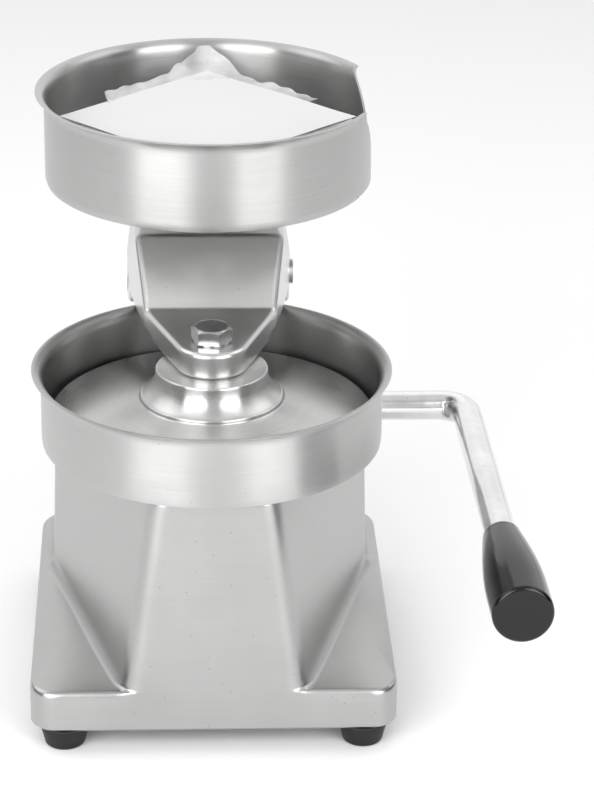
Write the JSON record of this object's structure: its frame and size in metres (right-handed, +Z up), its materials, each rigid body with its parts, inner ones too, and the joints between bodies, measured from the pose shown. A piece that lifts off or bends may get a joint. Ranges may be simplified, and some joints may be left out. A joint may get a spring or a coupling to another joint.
{
  "type": "patty press",
  "caption": "Bench press that forms round patties: cast base, steel mould bowl, hinged press head with a paper dish, and a side lever that opens the head and lifts the patty.",
  "frame": {"origin": "middle of the whole press on the plane of its feet", "axes": "+Z up, -Y to the front where the operator stands, +X to the side with the lever"},
  "size_m": [0.2224, 0.3014, 0.2485],
  "materials": {
    "cast_aluminium": "satin cast",
    "turned_aluminium": "turned",
    "stainless": "brushed",
    "bright_plate": "bright zinc plate",
    "plain_steel": "plain",
    "dark_steel": "blackened",
    "bronze": "plain",
    "iron": "cast",
    "foot_rubber": "matt",
    "grip_plastic": "gloss",
    "paper": "matt white paper"
  },
  "bodies": {
    "base": {"base_casting": "cast_aluminium", "mould_bowl": "stainless", "bowl_screws": "bright_plate", "guide_bush": "bronze", "shaft_bushes": "bronze", "hinge_post": "cast_aluminium", "post_screws": "dark_steel", "hinge_pin": "bright_plate", "hinge_ring": "dark_steel", "feet": "foot_rubber", "feet_screws": "bright_plate"},
    "crank": {"crank_bar": "bright_plate", "crank_grip": "grip_plastic", "rocker": "iron", "rocker_screw": "dark_steel", "shaft_collar": "plain_steel", "collar_screw": "dark_steel"},
    "head": {"press_arm": "cast_aluminium", "press_disc": "turned_aluminium", "press_washer": "bright_plate", "press_bolt": "bright_plate", "dish_spacer": "cast_aluminium", "paper_dish": "stainless", "dish_screw": "bright_plate", "paper_stack": "paper"},
    "link": {"link_plates": "plain_steel", "link_pin_top": "bright_plate", "link_pin_foot": "bright_plate"},
    "ejector": {"ejector_plate": "stainless", "plate_screw": "bright_plate", "ejector_stem": "bright_plate", "lift_bracket": "plain_steel", "stem_washer": "bright_plate", "stem_nut": "bright_plate"}
  },
  "joints": [
    {"name": "crank_turn", "type": "hinge", "parent": "base", "child": "crank", "pos_m": [-0.03023, 0.06521, 0.0898], "axis": [-1, 0, 0], "range_deg": [0, 65]},
    {"name": "head_hinge", "type": "hinge", "parent": "base", "child": "head", "pos_m": [-0.03023, 0.06521, 0.1597], "axis": [-1, 0, 0], "range_deg": [0, 65]},
    {"name": "link_swing", "type": "hinge", "parent": "head", "child": "link", "pos_m": [-0.03023, 0.09321, 0.1687], "axis": [-1, 0, 0], "range_deg": [-65, 0]},
    {"name": "ejector_slide", "type": "slide", "parent": "base", "child": "ejector", "axis": [0, 0, 1], "range_m": [0, 0.02938]}
  ],
  "couplings": [
    {"joint": "head_hinge", "follows": "crank_turn", "ratio": 1},
    {"joint": "link_swing", "follows": "crank_turn", "ratio": -1},
    {"joint": "ejector_slide", "follows": "crank_turn", "m_per_rad": 0.025893}
  ]
}
